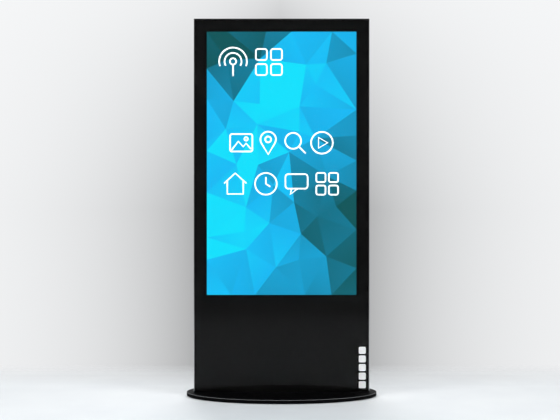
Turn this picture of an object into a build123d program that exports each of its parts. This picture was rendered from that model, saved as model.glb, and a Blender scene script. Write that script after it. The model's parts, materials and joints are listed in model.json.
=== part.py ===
from build123d import *
import math
import os

os.makedirs("parts", exist_ok=True)

# A free-standing touchscreen kiosk: a slim glass-fronted tower on an oval steel base.
# Millimetres. The origin is on the floor under the middle of the base, +Z is up, the
# screen faces -Y and +X is to the right of a person who looks at the screen.

# Driving dimensions
picture_w = 729.5  # lit picture of the 58 inch display
picture_h = 1284.0
side_margin = 60.75  # black glass beside the picture
top_margin = 60.5  # black glass above the picture
lip = 2.25  # aluminium edge seen around the glass
edge_gap = 0.25  # glass to aluminium
tower_d = 60.0
tower_h = 1822.0
base_w = 929.0
base_d = 466.0
base_t = 16.0
pad_h = 3.0
glass_t = 4.0
sheet_t = 1.5  # rear covers and door

# Levels and faces worked out from them
base_top = pad_h + base_t
tower_top = base_top + tower_h
half_w = picture_w / 2 + side_margin + edge_gap + lip
front_y = -tower_d / 2
rear_y = tower_d / 2
picture_top = tower_top - lip - edge_gap - top_margin
picture_mid = picture_top - picture_h / 2
glass_back = front_y + glass_t
cover_in = rear_y - sheet_t

# Edge profile, measured inwards from its outer face and along the depth
wall_t = lip
screw_thread_r = 2.1  # hole that a screw cuts its thread in
tube_w = 14.0
tube_back = -11.0
tape_y = glass_back + 0.5  # face of the ledge that carries the glass
tube_wall = 2.0
flange_w = 16.0
flange_t = 2.0
flange_y = cover_in - flange_t
flange_mid = wall_t + flange_w / 2

# Steel chassis
upright_w = 30.0
upright_d = 36.0
upright_wall = 2.0
upright_x = 393.0
upright_y = -4.0
upright_in = upright_x - upright_w / 2
upright_top = 1815.0
tab_levels = (120.0, 480.0, 900.0, 1320.0, 1740.0)  # welded tabs beside the edge profile
tab_h = 40.0
gusset_t = 5.0
gusset_top = 110.0
gusset_reach = 52.0
foot_reach = 60.0  # foot plate inwards of the upright
foot_t = 8.0
foot_front = tube_back + 0.5
foot_back = 24.0
foot_z = base_top + wall_t
rail_h = 50.0
rail_t = 2.0
rail_front = -1.0
rail_back = 13.0
rail_levels = {"lower": 560.0, "middle": 1130.0, "upper": 1700.0}
rail_bolt_gap = 30.0
rail_bolt_y = 6.0
rail_bolt_r = 2.5
display_screw_x = (-300.0, -120.0, 120.0, 300.0)
bolt_hole_r = rail_bolt_r + 0.2
rail_hole_x = (-210.0, 0.0, 210.0)  # cable holes through the cross rails
rail_hole_r = 14.0

# Equipment plate behind the lower part of the glass
plate_back = -10.0
plate_t = 2.0
plate_low = 118.0
plate_high = 465.0
plate_bolt_z = (150.0, 290.0, 430.0)
plate_bolt_y = 0.0

# Service door and its opening in the lower cover
cover_split = 501.0  # seam between the upper and the lower rear cover
seam = 1.0
cover_return = 5.5
door_w = 420.0
door_low = 90.0
door_high = 430.0
door_gap = 1.0
door_return = 12.0
hinge_x = -212.0
hinge_r = 3.5
hinge_y = rear_y + hinge_r
hinge_h = 60.0
hinge_levels = (150.0, 370.0)
hinge_leaf_w = 30.0
hinge_leaf_t = 2.0
hinge_pin_r = 1.75
hinge_fit = 0.05
hinge_end_gap = 0.3
lock_x = 185.0
lock_z = 260.0
plug_r = 6.0
plug_fit = 0.05
cam_reach = 35.0
cam_w = 16.0
cam_t = 2.5
cam_back = 20.0  # face of the cam that slides behind the keeper

# Fittings in the lower cover, seen from behind
fitting_z = 110.0
inlet_x = -312.0
inlet_z = fitting_z
switch_x = -262.0
jack_x = -366.0

# Fans and vents
fan_side = 80.0
fan_t = 15.0
fan_x = 150.0
fan_z = 1640.0
fan_back = cover_in - 0.2
fan_hole_r = 38.0
fan_screw_gap = 71.5
rotor_r = 36.0
hub_r = 17.0
shaft_r = 1.5
shaft_fit = 0.05
speaker_x = 305.0
speaker_z = 380.0


def facing(y):
    """A sketch plane standing across the tower at depth y: extrusions run to the front."""
    return Plane(origin=(0, y, 0), x_dir=(1, 0, 0), z_dir=(0, -1, 0))


def rect(x0, x1, y0, y1, mode=Mode.ADD):
    """A rectangle in the open sketch, given by its sides."""
    with Locations(((x0 + x1) / 2, (y0 + y1) / 2)):
        Rectangle(x1 - x0, y1 - y0, mode=mode)


def block(x0, x1, y0, y1, z0, z1, mode=Mode.ADD):
    """A box in the open part, given by its sides."""
    with Locations(((x0 + x1) / 2, (y0 + y1) / 2, (z0 + z1) / 2)):
        Box(x1 - x0, y1 - y0, z1 - z0, mode=mode)


def rod(axis, x, y, z, radius, length, mode=Mode.ADD):
    """A cylinder in the open part, centred on a point, along one of the axes."""
    turn = {"x": (0, 90, 0), "y": (90, 0, 0), "z": (0, 0, 0)}[axis]
    with Locations(Location((x, y, z), turn)):
        Cylinder(radius, length, mode=mode)


# Places that several pieces share
foot_bolts_xy = [
    (side * x, y) for side in (-1, 1) for x in (336.0, 393.0) for y in (-2.0, 16.0)
]
side_screw_z = (62.0, 210.0, 358.0, 472.0, 560.0, 808.0, 1056.0, 1304.0, 1552.0, 1800.0)
cover_screw_x = half_w - flange_mid
end_screw_x = (-270.0, 0.0, 270.0)
cover_screws_xz = [(side * cover_screw_x, z) for side in (-1, 1) for z in side_screw_z]
cover_screws_xz += [(x, tower_top - flange_mid) for x in end_screw_x]
cover_screws_xz += [(x, base_top + flange_mid) for x in end_screw_x]
fan_screws_xz = [
    (side * fan_x + i * fan_screw_gap / 2, fan_z + j * fan_screw_gap / 2)
    for side in (-1, 1)
    for i in (-1, 1)
    for j in (-1, 1)
]

# ---------------------------------------------------------------- base
foot_bolt_r = 4.0
foot_bolt_hole = 4.5
sink_r = 8.5
anchor_r = 6.5
anchor_gap_x = 600.0
anchor_gap_y = 260.0
rim_chamfer = 0.8
under = Plane(origin=(0, 0, pad_h), x_dir=(1, 0, 0), z_dir=(0, 0, -1))

with BuildPart() as base_plate:
    with BuildSketch(Plane.XY.offset(pad_h)):
        Ellipse(base_w / 2, base_d / 2)
        with GridLocations(anchor_gap_x, anchor_gap_y, 2, 2):
            Circle(anchor_r, mode=Mode.SUBTRACT)
    extrude(amount=base_t)
    rim = base_plate.faces().sort_by(Axis.Z)[-1].outer_wire().edges()
    chamfer(rim, rim_chamfer)
    with Locations(under):
        with Locations(*[(x, -y) for x, y in foot_bolts_xy]):
            CounterSinkHole(foot_bolt_hole, sink_r, counter_sink_angle=90)

base_plate.part.label = "base_plate"
export_step(base_plate.part, "parts/base_plate.step")

pad_r = 20.0
pad_reach_x = 410.0
pad_reach_y = 190.0
pad_angles = (20, 60, 120, 160, 200, 240, 300, 340)

with BuildPart() as base_pads:
    with BuildSketch():
        for angle in pad_angles:
            turn = math.radians(angle)
            with Locations((pad_reach_x * math.cos(turn), pad_reach_y * math.sin(turn))):
                Circle(pad_r)
    extrude(amount=pad_h)
    chamfer(base_pads.faces().filter_by(Axis.Z).sort_by(Axis.Z)[:8].edges(), 0.6)

base_pads.part.label = "base_pads"
export_step(base_pads.part, "parts/base_pads.step")

head_low = pad_h + 0.4  # countersunk just below the underside
head_r = 8.0
head_h = head_r - foot_bolt_r
foot_bolt_top = foot_z + foot_t - 1
hex_key_r = 2.9
hex_key_depth = 3.0

with BuildPart() as foot_bolts:
    for x, y in foot_bolts_xy:
        with Locations((x, y, head_low)):
            Cone(head_r, foot_bolt_r, head_h, align=(Align.CENTER, Align.CENTER, Align.MIN))
        rod("z", x, y, (head_low + foot_bolt_top) / 2, foot_bolt_r, foot_bolt_top - head_low)
    with BuildSketch(Plane.XY.offset(head_low)):
        with Locations(*foot_bolts_xy):
            RegularPolygon(hex_key_r, 6)
    extrude(amount=hex_key_depth, mode=Mode.SUBTRACT)

foot_bolts.part.label = "foot_bolts"
export_step(foot_bolts.part, "parts/foot_bolts.step")

# ---------------------------------------------------------------- aluminium edge frame


def profile_section():
    """Section of the edge profile: x inwards from the outer face, y along the depth."""
    rect(0, wall_t, front_y, rear_y)
    rect(wall_t, wall_t + tube_w, tape_y, tube_back)
    rect(wall_t, wall_t + tube_w - tube_wall, tape_y + tube_wall, tube_back - tube_wall, Mode.SUBTRACT)
    rect(wall_t, wall_t + flange_w, flange_y, cover_in)


for side, sign in (("left", -1), ("right", 1)):
    start = base_top if sign < 0 else tower_top
    with BuildPart() as frame_side:
        across = Plane(origin=(sign * half_w, 0, start), x_dir=(-sign, 0, 0), z_dir=(0, 0, -sign))
        with BuildSketch(across):
            profile_section()
        extrude(amount=tower_h)
        for level, up in ((base_top, -1), (tower_top, 1)):
            mitre = Plane(origin=(sign * half_w, 0, level), x_dir=(0, 1, 0), z_dir=(sign, 0, -up))
            split(bisect_by=mitre, keep=Keep.TOP)
        for z in side_screw_z:
            rod("y", sign * cover_screw_x, flange_y + 1, z, screw_thread_r, 4, Mode.SUBTRACT)

    frame_side.part.label = f"frame_side_{side}"
    export_step(frame_side.part, f"parts/frame_side_{side}.step")

for name, level, up in (("frame_top", tower_top, 1), ("frame_sill", base_top, -1)):
    with BuildPart() as frame_end:
        across = Plane(origin=(-up * half_w, 0, level), x_dir=(0, 0, -up), z_dir=(up, 0, 0))
        with BuildSketch(across):
            profile_section()
        extrude(amount=2 * half_w)
        for sign in (-1, 1):
            mitre = Plane(origin=(sign * half_w, 0, level), x_dir=(0, 1, 0), z_dir=(-sign, 0, up))
            split(bisect_by=mitre, keep=Keep.TOP)
        for x in end_screw_x:
            rod("y", x, flange_y + 1, level - up * flange_mid, screw_thread_r, 4, Mode.SUBTRACT)
        if up < 0:
            for x, y in foot_bolts_xy:
                rod("z", x, y, base_top + 1, foot_bolt_hole, 4, Mode.SUBTRACT)

    frame_end.part.label = name
    export_step(frame_end.part, f"parts/{name}.step")

key_leg = 60.0
key_gap = 0.2
key_out = wall_t + key_gap
key_in = wall_t + tube_w - tube_wall - key_gap
key_front = tape_y + tube_wall + key_gap
key_rear = tube_back - tube_wall - key_gap

with BuildPart() as corner_keys:
    for sign in (-1, 1):
        for level, up in ((base_top, -1), (tower_top, 1)):
            xs = sorted((sign * (half_w - key_out), sign * (half_w - key_leg)))
            zs = sorted((level - up * key_out, level - up * key_in))
            block(*xs, key_front, key_rear, *zs)
            xs = sorted((sign * (half_w - key_out), sign * (half_w - key_in)))
            zs = sorted((level - up * key_out, level - up * key_leg))
            block(*xs, key_front, key_rear, *zs)

corner_keys.part.label = "corner_keys"
export_step(corner_keys.part, "parts/corner_keys.step")

# ---------------------------------------------------------------- front glass and touch layer
glass_x = half_w - lip - edge_gap
glass_low = base_top + lip + edge_gap
glass_high = tower_top - lip - edge_gap
glass_arris = 0.4  # ground edge
picture_x = picture_w / 2
picture_low = picture_mid - picture_h / 2

with BuildPart() as front_glass:
    block(-glass_x, glass_x, front_y, glass_back, glass_low, glass_high)
    chamfer(front_glass.faces().sort_by(Axis.Y)[0].edges(), glass_arris)

front_glass.part.label = "front_glass"
export_step(front_glass.part, "parts/front_glass.step")

mask_t = 0.2

with BuildPart() as glass_mask:
    with BuildSketch(facing(glass_back + mask_t)):
        rect(-glass_x, glass_x, glass_low, glass_high)
        rect(-picture_x, picture_x, picture_low, picture_top, Mode.SUBTRACT)
    extrude(amount=mask_t)

glass_mask.part.label = "glass_mask"
export_step(glass_mask.part, "parts/glass_mask.step")

tape_w = 11.0
tape_out = 1.0  # set back from the edge of the glass
tape_in = tape_out + tape_w

with BuildPart() as glass_tape:
    with BuildSketch(facing(tape_y)):
        rect(-glass_x + tape_out, glass_x - tape_out, glass_low + tape_out, glass_high - tape_out)
        rect(-glass_x + tape_in, glass_x - tape_in, glass_low + tape_in, glass_high - tape_in, Mode.SUBTRACT)
    extrude(amount=tape_y - glass_back - mask_t)

glass_tape.part.label = "glass_tape"
export_step(glass_tape.part, "parts/glass_tape.step")

foil_edge = 18.0

with BuildPart() as touch_foil:
    block(-picture_x - foil_edge, picture_x + foil_edge, glass_back + mask_t, tape_y,
          picture_low - foil_edge, picture_top + foil_edge)

touch_foil.part.label = "touch_foil"
export_step(touch_foil.part, "parts/touch_foil.step")

# ---------------------------------------------------------------- display module
bezel_front = -23.0
bezel_back = -10.0
bezel_t = 1.0
bezel_x = 375.0
bezel_h = picture_h / 2 + 10
window_edge = 1.5  # bezel opening past the picture
cell_t = 2.2
sheets_t = 2.0
tray_back = -3.0
tray_t = 1.5
tray_wall = 1.2
cell_front = bezel_front + bezel_t
sheets_front = cell_front + cell_t
tray_front = sheets_front + sheets_t

with BuildPart() as lcd_bezel:
    low = picture_mid - bezel_h
    high = picture_mid + bezel_h
    block(-bezel_x, bezel_x, bezel_front, bezel_back, low, high)
    block(-bezel_x + bezel_t, bezel_x - bezel_t, cell_front, bezel_back,
          low + bezel_t, high - bezel_t, Mode.SUBTRACT)
    block(-picture_x - window_edge, picture_x + window_edge, bezel_front, cell_front,
          picture_low - window_edge, picture_top + window_edge, Mode.SUBTRACT)

lcd_bezel.part.label = "lcd_bezel"
export_step(lcd_bezel.part, "parts/lcd_bezel.step")

cell_inset = 3.0

with BuildPart() as lcd_cell:
    block(-bezel_x + cell_inset, bezel_x - cell_inset, cell_front, sheets_front,
          picture_mid - bezel_h + cell_inset, picture_mid + bezel_h - cell_inset)

lcd_cell.part.label = "lcd_cell"
export_step(lcd_cell.part, "parts/lcd_cell.step")

sheets_inset = 4.0

with BuildPart() as diffuser_sheets:
    block(-bezel_x + sheets_inset, bezel_x - sheets_inset, sheets_front, tray_front,
          picture_mid - bezel_h + sheets_inset, picture_mid + bezel_h - sheets_inset)

diffuser_sheets.part.label = "diffuser_sheets"
export_step(diffuser_sheets.part, "parts/diffuser_sheets.step")

display_screws_xz = [(x, z) for x in display_screw_x for z in rail_levels.values()]
boss_r = 7.0
tray_gap = 0.2  # inside the bezel

with BuildPart() as backlight_tray:
    tray_x = bezel_x - bezel_t - tray_gap
    tray_z = bezel_h - bezel_t - tray_gap
    block(-tray_x, tray_x, tray_front, tray_back, picture_mid - tray_z, picture_mid + tray_z)
    block(-tray_x + tray_wall, tray_x - tray_wall, tray_front, tray_back - tray_t,
          picture_mid - tray_z + tray_wall, picture_mid + tray_z - tray_wall, Mode.SUBTRACT)
    with BuildSketch(facing(rail_front)):
        with Locations(*display_screws_xz):
            Circle(boss_r)
    extrude(amount=rail_front - tray_back)
    with BuildSketch(facing(rail_front)):
        with Locations(*display_screws_xz):
            Circle(screw_thread_r)
    extrude(amount=rail_front - tray_back + tray_t, mode=Mode.SUBTRACT)

backlight_tray.part.label = "backlight_tray"
export_step(backlight_tray.part, "parts/backlight_tray.step")

led_bar_count = 10
led_pitch = 2 * (bezel_h - 30) / led_bar_count
led_bar_x = 350.0
led_bar_h = 16.0
led_bar_t = 1.6
lens_x = range(-315, 316, 70)
lens_h = 3.0

with BuildPart() as led_bars:
    bar_back = tray_back - tray_t
    bar_front = bar_back - led_bar_t
    for i in range(led_bar_count):
        z = picture_mid + (i - (led_bar_count - 1) / 2) * led_pitch
        block(-led_bar_x, led_bar_x, bar_front, bar_back, z - led_bar_h / 2, z + led_bar_h / 2)
        with Locations(*[Location((x, bar_front, z), (90, 0, 0)) for x in lens_x]):
            Cone(5, 3, lens_h, align=(Align.CENTER, Align.CENTER, Align.MIN))

led_bars.part.label = "led_bars"
export_step(led_bars.part, "parts/led_bars.step")

# ---------------------------------------------------------------- steel chassis
for side, sign in (("left", -1), ("right", 1)):
    with BuildPart() as upright:
        with BuildSketch(Plane.XY.offset(foot_z + foot_t)):
            with Locations((sign * upright_x, upright_y)):
                Rectangle(upright_w, upright_d)
                Rectangle(upright_w - 2 * upright_wall, upright_d - 2 * upright_wall, mode=Mode.SUBTRACT)
        extrude(amount=upright_top - foot_z - foot_t)
        xs = sorted((sign * (upright_in - foot_reach), sign * (upright_x + upright_w / 2)))
        block(*xs, foot_front, foot_back, foot_z, foot_z + foot_t)
        notch_x = sorted((sign * (upright_in - 1), sign * (upright_x + upright_w / 2 + 1)))
        block(*notch_x, front_y, foot_front, foot_z, base_top + wall_t + tube_w + 1, Mode.SUBTRACT)
        for z in tab_levels:
            xs = sorted((sign * (upright_x + upright_w / 2), sign * (half_w - wall_t - tube_w)))
            block(*xs, upright_y - upright_d / 2 + 1, tube_back - 0.5, z - tab_h / 2, z + tab_h / 2)
        with BuildSketch(facing(upright_y + gusset_t / 2)):
            with BuildLine():
                Polyline(
                    (sign * (upright_in - gusset_reach), foot_z + foot_t),
                    (sign * upright_in, foot_z + foot_t),
                    (sign * upright_in, gusset_top),
                    (sign * (upright_in - 12), gusset_top),
                    (sign * (upright_in - gusset_reach), foot_z + foot_t + 20),
                    close=True,
                )
            make_face()
        extrude(amount=gusset_t)
        for x, y in foot_bolts_xy:
            if x * sign > 0:
                rod("z", x, y, foot_z + foot_t / 2, foot_bolt_r + 0.05, foot_t + 2, Mode.SUBTRACT)
        for z in rail_levels.values():
            for step in (-1, 1):
                rod("x", sign * upright_in, rail_bolt_y, z + step * rail_bolt_gap / 2,
                    bolt_hole_r, 6, Mode.SUBTRACT)
        for z in plate_bolt_z:
            rod("x", sign * upright_in, plate_bolt_y, z, bolt_hole_r, 6, Mode.SUBTRACT)

    upright.part.label = f"upright_{side}"
    export_step(upright.part, f"parts/upright_{side}.step")

for name, z in rail_levels.items():
    low = z - rail_h / 2
    high = z + rail_h / 2
    with BuildPart() as cross_rail:
        block(-upright_in, upright_in, rail_front, rail_back, low, high)
        block(-upright_in + rail_t, upright_in - rail_t, rail_front + rail_t, rail_back,
              low + rail_t, high - rail_t, Mode.SUBTRACT)
        for x in display_screw_x:
            rod("y", x, rail_front + rail_t / 2, z, 2.25, rail_t + 1, Mode.SUBTRACT)
        for x in rail_hole_x:
            rod("y", x, rail_front + rail_t / 2, z, rail_hole_r, rail_t + 1, Mode.SUBTRACT)
        for sign in (-1, 1):
            for step in (-1, 1):
                rod("x", sign * upright_in, rail_bolt_y, z + step * rail_bolt_gap / 2,
                    bolt_hole_r, 6, Mode.SUBTRACT)

    cross_rail.part.label = f"cross_rail_{name}"
    export_step(cross_rail.part, f"parts/cross_rail_{name}.step")

bolt_head_r = 4.5
bolt_head_h = 3.5
bolt_reach = 10.0
screw_head_r = 4.0
screw_head_h = 2.4
screw_key_r = 1.5
screw_key_depth = 1.4
screw_shank_r = 2.0

with BuildPart() as chassis_bolts:
    spots = [(rail_bolt_y, z + step * rail_bolt_gap / 2) for z in rail_levels.values() for step in (-1, 1)]
    spots += [(plate_bolt_y, z) for z in plate_bolt_z]
    for sign in (-1, 1):
        seat = upright_in - rail_t
        for y, z in spots:
            rod("x", sign * (seat + bolt_reach / 2 - bolt_head_h), y, z, rail_bolt_r, bolt_reach)
            rod("x", sign * (seat - bolt_head_h / 2), y, z, bolt_head_r, bolt_head_h)
    head_y = rail_front + rail_t
    with BuildSketch(facing(head_y + screw_head_h)):
        with Locations(*display_screws_xz):
            Circle(screw_head_r)
            RegularPolygon(screw_key_r, 6, mode=Mode.SUBTRACT)
    extrude(amount=screw_key_depth)
    with BuildSketch(facing(head_y + screw_head_h - screw_key_depth)):
        with Locations(*display_screws_xz):
            Circle(screw_head_r)
    extrude(amount=screw_head_h - screw_key_depth)
    with BuildSketch(facing(head_y)):
        with Locations(*display_screws_xz):
            Circle(screw_shank_r)
    extrude(amount=head_y - tray_back + tray_t)

chassis_bolts.part.label = "chassis_bolts"
export_step(chassis_bolts.part, "parts/chassis_bolts.step")

# ---------------------------------------------------------------- equipment behind the door
touch_hole_x = -300.0
touch_hole_z = 240.0
touch_hole_r = 9.0
plate_flange_back = 8.0
strap_slot_z = (215.0, 440.0)

with BuildPart() as equipment_plate:
    inner = upright_in - plate_t
    block(-upright_in, upright_in, plate_back - plate_t, plate_back, plate_low, plate_high)
    for sign in (-1, 1):
        xs = sorted((sign * inner, sign * upright_in))
        block(*xs, plate_back - plate_t, plate_flange_back, plate_low, plate_high)
        for z in plate_bolt_z:
            rod("x", sign * inner, plate_bolt_y, z, bolt_hole_r, 8, Mode.SUBTRACT)
    rod("y", touch_hole_x, plate_back, touch_hole_z, touch_hole_r, 6, Mode.SUBTRACT)
    with BuildSketch(facing(plate_back)):
        with Locations(*[(0, z) for z in strap_slot_z]):
            with GridLocations(60, 0, 9, 1):
                SlotOverall(40, 8)
    extrude(amount=plate_t, mode=Mode.SUBTRACT)

equipment_plate.part.label = "equipment_plate"
export_step(equipment_plate.part, "parts/equipment_plate.step")

player_x0 = -195.0
player_x1 = -15.0
player_z0 = 240.0
player_z1 = 405.0
player_y1 = 12.0
button_z = 262.0
button_y = 1.0
button_r = 4.0
player_wall = 3.0
fin_back = 9.0  # depth of the cooling fins
port_x = (-150.0, -110.0, -70.0)
port_w = 16.0

with BuildPart() as media_player:
    block(player_x0, player_x1, plate_back, player_y1, player_z0, player_z1)
    fillet(media_player.edges().filter_by(Axis.Y), 4)
    block(player_x0 + player_wall, player_x1 - player_wall, plate_back + player_wall,
          player_y1 - player_wall, player_z0 + player_wall, player_z1 - player_wall, Mode.SUBTRACT)
    with BuildSketch(facing(player_y1 + fin_back)):
        with Locations(((player_x0 + player_x1) / 2, (player_z0 + player_z1) / 2)):
            with GridLocations(9, 0, 18, 1):
                Rectangle(2, player_z1 - player_z0 - 16)
    extrude(amount=fin_back)
    rod("x", player_x1, button_y, button_z, button_r + 0.3, 2 * player_wall + 2, Mode.SUBTRACT)
    for x in port_x:
        block(x - port_w / 2, x + port_w / 2, -4, 3,
              player_z0 - 1, player_z0 + player_wall + 1, Mode.SUBTRACT)

media_player.part.label = "media_player"
export_step(media_player.part, "parts/media_player.step")

with BuildPart() as player_button:
    rod("x", player_x1 + 1 - player_wall / 2 - 0.5, button_y, button_z, button_r, player_wall + 3)
    rod("x", player_x1 - player_wall - 1.2, button_y, button_z, button_r + 1.4, 1.2)
    fillet(player_button.faces().sort_by(Axis.X)[-1].edges(), 0.6)

player_button.part.label = "player_button"
export_step(player_button.part, "parts/player_button.step")

psu_x0 = 35.0
psu_x1 = 165.0
psu_z0 = 285.0
psu_z1 = 415.0
psu_y1 = 22.0
cage_t = 1.2

with BuildPart() as psu_case:
    block(psu_x0, psu_x1, plate_back, psu_y1, psu_z0, psu_z1)
    block(psu_x0 + cage_t, psu_x1 - cage_t, plate_back + cage_t, psu_y1 - cage_t,
          psu_z0 + cage_t, psu_z1 - cage_t, Mode.SUBTRACT)
    with BuildSketch(facing(psu_y1 + 1)):
        with Locations(((psu_x0 + psu_x1) / 2, (psu_z0 + psu_z1) / 2)):
            with HexLocations(5, 11, 10):
                Circle(3.2)
    extrude(amount=cage_t + 2, mode=Mode.SUBTRACT)
    rod("z", psu_x0 + 20, 5, psu_z0, 4.5, 6, Mode.SUBTRACT)
    rod("z", psu_x0 + 25, 5, psu_z1, 4, 6, Mode.SUBTRACT)

psu_case.part.label = "psu_case"
export_step(psu_case.part, "parts/psu_case.step")

board_x = -140.0  # middle of the touch controller
board_z = 160.0
board_w = 84.0
board_h = 68.0
board_t = 1.6
standoff = 5.0

with BuildPart() as touch_controller:
    board_back = plate_back + standoff + board_t
    for z in (board_z - 28, board_z + 28):
        block(board_x - 40, board_x + 40, plate_back, plate_back + standoff, z - 2, z + 2)
    block(board_x - board_w / 2, board_x + board_w / 2, plate_back + standoff, board_back,
          board_z - board_h / 2, board_z + board_h / 2)
    block(board_x - 20, board_x - 4, board_back, board_back + 2, board_z - 10, board_z + 6)
    block(board_x + 16, board_x + 28, board_back, board_back + 2.4, board_z - 15, board_z + 15)
    block(board_x - 10, board_x + 20, board_back, board_back + 5.4, board_z + 22, board_z + 34)

touch_controller.part.label = "touch_controller"
export_step(touch_controller.part, "parts/touch_controller.step")

driver_x = -20.0  # middle of the board that drives the display
driver_z = 1310.0
driver_w = 190.0
driver_h = 120.0
driver_front = 3.0

with BuildPart() as display_board:
    driver_back = driver_front + board_t
    with BuildSketch(facing(driver_front)):
        with Locations((driver_x, driver_z)):
            with GridLocations(160, 100, 2, 2):
                Circle(3)
    extrude(amount=driver_front - tray_back)
    block(driver_x - driver_w / 2, driver_x + driver_w / 2, driver_front, driver_back,
          driver_z - driver_h / 2, driver_z + driver_h / 2)
    block(driver_x - 50, driver_x - 10, driver_back, driver_back + 4.4, driver_z - 10, driver_z + 30)
    block(driver_x + 20, driver_x + 70, driver_back, driver_back + 5.4, driver_z - 20, driver_z + 40)
    block(driver_x - 90, driver_x - 55, driver_back, driver_back + 6.4, driver_z - 54, driver_z - 40)
    block(driver_x - 70, driver_x + 70, driver_back, driver_back + 2.4, driver_z + 46, driver_z + 54)

display_board.part.label = "display_board"
export_step(display_board.part, "parts/display_board.step")

speaker_w = 110.0
speaker_h = 150.0
speaker_wall = 3.0
speaker_back = cover_in - 2
cone_hole_r = 38.0

with BuildPart() as speaker_boxes:
    for sign in (-1, 1):
        x = sign * speaker_x
        block(x - speaker_w / 2, x + speaker_w / 2, plate_back, speaker_back,
              speaker_z - speaker_h / 2, speaker_z + speaker_h / 2)
        block(x - speaker_w / 2 + speaker_wall, x + speaker_w / 2 - speaker_wall,
              plate_back + speaker_wall, speaker_back - speaker_wall,
              speaker_z - speaker_h / 2 + speaker_wall, speaker_z + speaker_h / 2 - speaker_wall,
              Mode.SUBTRACT)
        rod("y", x, speaker_back, speaker_z, cone_hole_r, 12, Mode.SUBTRACT)

speaker_boxes.part.label = "speaker_boxes"
export_step(speaker_boxes.part, "parts/speaker_boxes.step")

with BuildPart() as speaker_drivers:
    for sign in (-1, 1):
        along = Plane(origin=(sign * speaker_x, speaker_back, speaker_z), x_dir=(1, 0, 0), z_dir=(0, 0, 1))
        with BuildSketch(along):
            with BuildLine():
                Polyline(
                    (0, -12), (10, -9), (12, -12), (30, -4), (33, -2), (36, -4), (37.8, -4),
                    (37.8, -8), (20, -22), (20, -28), (0, -28), close=True,
                )
            make_face()
        revolve(axis=Axis((sign * speaker_x, 0, speaker_z), (0, 1, 0)))

speaker_drivers.part.label = "speaker_drivers"
export_step(speaker_drivers.part, "parts/speaker_drivers.step")

# ---------------------------------------------------------------- rear covers
screw_hole = 2.25
fitting_hole_w = 28.0
fitting_hole_h = 48.0
switch_hole_w = 14.0
switch_hole_h = 20.0
jack_hole = 17.0
vent_levels = (660.0, 1760.0)  # slotted rows in the upper cover
vent_pitch = 14.0
vent_count = 38
vent_h = 60.0
vent_w = 5.0
return_inset = 20.0  # folded edge stops short of the side frame

with BuildPart() as rear_cover:
    with BuildSketch(facing(rear_y)):
        rect(-glass_x, glass_x, cover_split + seam / 2, glass_high)
        with Locations(*[p for p in cover_screws_xz if p[1] > cover_split]):
            Circle(screw_hole, mode=Mode.SUBTRACT)
        with Locations(*fan_screws_xz):
            Circle(screw_hole, mode=Mode.SUBTRACT)
        for sign in (-1, 1):
            for i in range(-4, 5):
                chord = 2 * math.sqrt((fan_hole_r - 2) ** 2 - (8 * i) ** 2)
                with Locations((sign * fan_x + 8 * i, fan_z)):
                    SlotOverall(chord, 4.5, rotation=90, mode=Mode.SUBTRACT)
        for z in vent_levels:
            with Locations((0, z)):
                with GridLocations(vent_pitch, 0, vent_count, 1):
                    SlotOverall(vent_h, vent_w, rotation=90, mode=Mode.SUBTRACT)
    extrude(amount=sheet_t)
    low = cover_split + seam / 2
    block(-glass_x + return_inset, glass_x - return_inset, cover_in - cover_return, cover_in,
          low, low + sheet_t)

rear_cover.part.label = "rear_cover"
export_step(rear_cover.part, "parts/rear_cover.step")

opening_x = door_w / 2 + door_gap

with BuildPart() as lower_cover:
    with BuildSketch(facing(rear_y)):
        rect(-glass_x, glass_x, glass_low, cover_split - seam / 2)
        rect(-opening_x, opening_x, door_low - door_gap, door_high + door_gap, Mode.SUBTRACT)
        with Locations(*[p for p in cover_screws_xz if p[1] < cover_split]):
            Circle(screw_hole, mode=Mode.SUBTRACT)
        rect(inlet_x - fitting_hole_w / 2, inlet_x + fitting_hole_w / 2,
             inlet_z - fitting_hole_h / 2, inlet_z + fitting_hole_h / 2, Mode.SUBTRACT)
        rect(switch_x - switch_hole_w / 2, switch_x + switch_hole_w / 2,
             fitting_z - switch_hole_h / 2, fitting_z + switch_hole_h / 2, Mode.SUBTRACT)
        rect(jack_x - jack_hole / 2, jack_x + jack_hole / 2,
             fitting_z - jack_hole / 2, fitting_z + jack_hole / 2, Mode.SUBTRACT)
        for sign in (-1, 1):
            with Locations((sign * speaker_x, speaker_z)):
                with GridLocations(8, 8, 9, 9):
                    Circle(2, mode=Mode.SUBTRACT)
    extrude(amount=sheet_t)
    high = cover_split - seam / 2
    block(-glass_x + return_inset, glass_x - return_inset, cover_in - cover_return, cover_in,
          high - sheet_t, high)

lower_cover.part.label = "lower_cover"
export_step(lower_cover.part, "parts/lower_cover.step")

cover_screw_key_r = 1.4
# Places, head radius, head height, depth of the key socket, shank radius and reach
rear_screw_sets = [
    (cover_screws_xz, 3.8, 2.0, 1.2, 2.0, sheet_t + flange_t + 0.6),
    (fan_screws_xz, 3.6, 1.6, 1.0, 1.9, 12.0),
]

with BuildPart() as cover_screws:
    for places, radius, height, key_depth, shank_r, reach in rear_screw_sets:
        with BuildSketch(facing(rear_y + height)):
            with Locations(*places):
                Circle(radius)
                RegularPolygon(cover_screw_key_r, 6, mode=Mode.SUBTRACT)
        extrude(amount=key_depth)
        with BuildSketch(facing(rear_y + height - key_depth)):
            with Locations(*places):
                Circle(radius)
        extrude(amount=height - key_depth)
        with BuildSketch(facing(rear_y)):
            with Locations(*places):
                Circle(shank_r)
        extrude(amount=reach)

cover_screws.part.label = "cover_screws"
export_step(cover_screws.part, "parts/cover_screws.step")

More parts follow.
